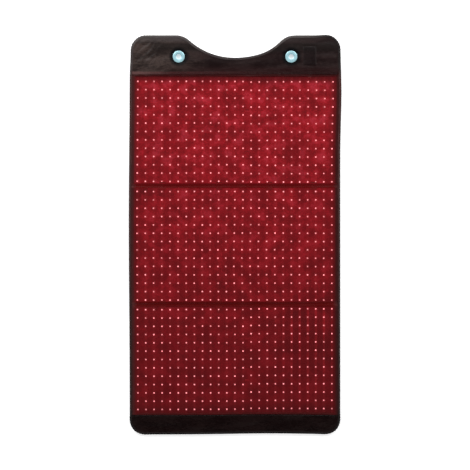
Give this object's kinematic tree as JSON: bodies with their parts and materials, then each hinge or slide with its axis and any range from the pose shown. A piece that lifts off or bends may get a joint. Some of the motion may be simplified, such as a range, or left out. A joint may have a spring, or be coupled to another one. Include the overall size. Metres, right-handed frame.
{
  "type": "infrared led therapy mat",
  "caption": "Flat foldable infrared LED therapy mat: three lamp panels joined by soft folds, black head strip with a neck cut-out, two hanging eyelets and sewn edge binding.",
  "frame": {"origin": "middle of the mat's outline, on the surface that its back cover lies on", "axes": "+X across the mat towards the junction box side, +Y along it towards the neck cut-out, +Z out of the lit face"},
  "size_m": [0.8, 1.516, 0.0102],
  "materials": {
    "window_film": "clear wrinkled film, tinted red",
    "back_leather": "coated fabric with a fine leather grain",
    "front_leather": "glossy coated fabric, nearly black brown",
    "foam": "closed-cell foam",
    "reflector": "white reflecting film",
    "circuit_board": "flexible circuit board lit red",
    "led_package": "lit lamp package",
    "connector_plastic": "moulded",
    "ribbon_film": "polyimide ribbon",
    "binding_tape": "folded edge tape, puckered and sewn",
    "eyelet_metal": "pale bright plated, slightly blue",
    "box_plastic": "moulded",
    "screw_steel": "plated",
    "control_board": "green board with black chip",
    "socket_plastic": "moulded",
    "contact_brass": "plated",
    "lead_sheath": "flat two-core lead"
  },
  "bodies": {
    "middle_panel": {"middle_window_film": "window_film", "middle_back_cover": "back_leather", "middle_foam_pad": "foam", "middle_reflector_sheet": "reflector", "middle_led_board_left": "circuit_board", "middle_led_board_right": "circuit_board", "middle_leds": "led_package", "middle_board_connectors": "connector_plastic", "middle_board_links": "ribbon_film", "middle_edge_binding": "binding_tape", "upper_fold_film": "window_film", "upper_fold_back": "back_leather", "upper_fold_binding": "binding_tape", "upper_fold_jumpers": "ribbon_film", "lower_fold_film": "window_film", "lower_fold_back": "back_leather", "lower_fold_binding": "binding_tape", "lower_fold_jumpers": "ribbon_film"},
    "upper_panel": {"upper_window_film": "window_film", "upper_back_cover": "back_leather", "upper_foam_pad": "foam", "upper_reflector_sheet": "reflector", "upper_led_board_left": "circuit_board", "upper_led_board_right": "circuit_board", "upper_leds": "led_package", "upper_board_connectors": "connector_plastic", "upper_board_links": "ribbon_film", "upper_edge_binding": "binding_tape", "head_front_skin": "front_leather", "head_foam_pad": "foam", "eyelets": "eyelet_metal", "eyelet_washers": "eyelet_metal", "junction_box_base": "box_plastic", "junction_box_lid": "box_plastic", "junction_box_screws": "screw_steel", "control_board": "control_board", "power_inlet_socket": "socket_plastic", "power_inlet_contacts": "contact_brass", "power_lead": "lead_sheath"},
    "lower_panel": {"lower_window_film": "window_film", "lower_back_cover": "back_leather", "lower_foam_pad": "foam", "lower_reflector_sheet": "reflector", "lower_led_board_left": "circuit_board", "lower_led_board_right": "circuit_board", "lower_leds": "led_package", "lower_board_connectors": "connector_plastic", "lower_board_links": "ribbon_film", "lower_edge_binding": "binding_tape", "foot_front_skin": "front_leather"}
  },
  "joints": [
    {"name": "upper_fold", "type": "hinge", "parent": "middle_panel", "child": "upper_panel", "pos_m": [0, 0.18655, 0.0107], "axis": [1, 0, 0], "range_deg": [0, 180]},
    {"name": "lower_fold", "type": "hinge", "parent": "middle_panel", "child": "lower_panel", "pos_m": [0, -0.26275, -0.0005], "axis": [1, 0, 0], "range_deg": [0, 180]}
  ]
}
